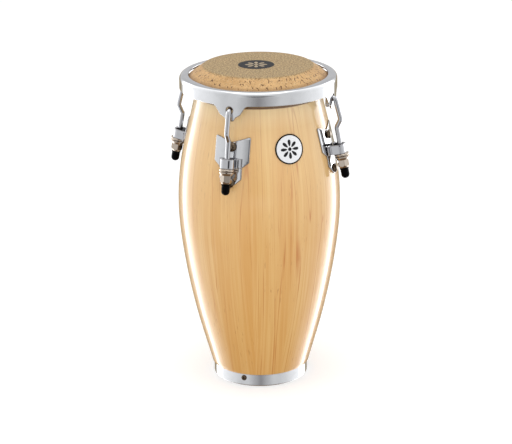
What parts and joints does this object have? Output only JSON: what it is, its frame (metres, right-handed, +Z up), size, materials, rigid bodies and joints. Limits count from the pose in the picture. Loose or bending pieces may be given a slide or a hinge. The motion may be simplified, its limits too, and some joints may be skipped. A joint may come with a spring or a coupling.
{
  "type": "conga drum",
  "caption": "Stave-built barrel hand drum with a skin head, a hooked tension rim, tilted tuning lugs and a foot ring.",
  "frame": {"origin": "centre of the foot ring's underside", "axes": "+Z up, -Y towards the badge; the four lugs stand at 45 degrees to X and Y"},
  "size_m": [0.2006, 0.2006, 0.4],
  "materials": {
    "wood": "clear gloss lacquer",
    "chrome": "polished",
    "skin": "natural mottled skin",
    "rubber": "smooth black",
    "plain_steel": "zinc plated",
    "badge": "silver face, dark ring"
  },
  "bodies": {
    "shell": {"stave_01": "wood", "stave_02": "wood", "stave_03": "wood", "stave_04": "wood", "stave_05": "wood", "stave_06": "wood", "stave_07": "wood", "stave_08": "wood", "stave_09": "wood", "stave_10": "wood", "stave_11": "wood", "stave_12": "wood", "bottom_ring": "chrome", "bottom_ring_screws": "chrome", "head_skin": "skin", "badge": "badge", "plate_bolts": "chrome", "inner_washers": "plain_steel", "inner_nuts": "plain_steel", "side_plate_front_left": "chrome", "side_plate_front_right": "chrome", "side_plate_back_right": "chrome", "side_plate_back_left": "chrome", "lug_strap_front_left": "chrome", "lug_strap_front_right": "chrome", "lug_strap_back_right": "chrome", "lug_strap_back_left": "chrome", "tuning_washer_front_left": "chrome", "tuning_washer_front_right": "chrome", "tuning_washer_back_right": "chrome", "tuning_washer_back_left": "chrome"},
    "rim": {"tension_rim": "chrome", "flesh_hoop": "plain_steel"},
    "hook_front_left": {"tuning_hook_front_left": "chrome", "end_cap_front_left": "rubber"},
    "nut_front_left": {"tuning_nut_front_left": "chrome"},
    "hook_front_right": {"tuning_hook_front_right": "chrome", "end_cap_front_right": "rubber"},
    "nut_front_right": {"tuning_nut_front_right": "chrome"},
    "hook_back_right": {"tuning_hook_back_right": "chrome", "end_cap_back_right": "rubber"},
    "nut_back_right": {"tuning_nut_back_right": "chrome"},
    "hook_back_left": {"tuning_hook_back_left": "chrome", "end_cap_back_left": "rubber"},
    "nut_back_left": {"tuning_nut_back_left": "chrome"}
  },
  "joints": [
    {"name": "rim_tension", "type": "slide", "parent": "shell", "child": "rim", "axis": [0, 0, -1], "range_m": [0, 0.005], "deforming": ["head_skin"]},
    {"name": "hook_pull_front_left", "type": "slide", "parent": "shell", "child": "hook_front_left", "axis": [-0.1349, -0.1349, -0.9816], "range_m": [0, 0.0052]},
    {"name": "nut_turn_front_left", "type": "hinge", "parent": "shell", "child": "nut_front_left", "pos_m": [-0.0763, -0.0763, 0.29498], "axis": [0.1349, 0.1349, 0.9816], "range_deg": [0, 1840]},
    {"name": "hook_pull_front_right", "type": "slide", "parent": "shell", "child": "hook_front_right", "axis": [0.1349, -0.1349, -0.9816], "range_m": [0, 0.0052]},
    {"name": "nut_turn_front_right", "type": "hinge", "parent": "shell", "child": "nut_front_right", "pos_m": [0.0763, -0.0763, 0.29498], "axis": [-0.1349, 0.1349, 0.9816], "range_deg": [0, 1840]},
    {"name": "hook_pull_back_right", "type": "slide", "parent": "shell", "child": "hook_back_right", "axis": [0.1349, 0.1349, -0.9816], "range_m": [0, 0.0052]},
    {"name": "nut_turn_back_right", "type": "hinge", "parent": "shell", "child": "nut_back_right", "pos_m": [0.0763, 0.0763, 0.29498], "axis": [-0.1349, -0.1349, 0.9816], "range_deg": [0, 1840]},
    {"name": "hook_pull_back_left", "type": "slide", "parent": "shell", "child": "hook_back_left", "axis": [-0.1349, 0.1349, -0.9816], "range_m": [0, 0.0052]},
    {"name": "nut_turn_back_left", "type": "hinge", "parent": "shell", "child": "nut_back_left", "pos_m": [-0.0763, 0.0763, 0.29498], "axis": [0.1349, -0.1349, 0.9816], "range_deg": [0, 1840]}
  ],
  "couplings": [
    {"joint": "hook_pull_front_left", "follows": "rim_tension", "ratio": 1.0187},
    {"joint": "nut_turn_front_left", "follows": "rim_tension", "rad_per_m": 6400.8},
    {"joint": "hook_pull_front_right", "follows": "rim_tension", "ratio": 1.0187},
    {"joint": "nut_turn_front_right", "follows": "rim_tension", "rad_per_m": 6400.8},
    {"joint": "hook_pull_back_right", "follows": "rim_tension", "ratio": 1.0187},
    {"joint": "nut_turn_back_right", "follows": "rim_tension", "rad_per_m": 6400.8},
    {"joint": "hook_pull_back_left", "follows": "rim_tension", "ratio": 1.0187},
    {"joint": "nut_turn_back_left", "follows": "rim_tension", "rad_per_m": 6400.8}
  ]
}
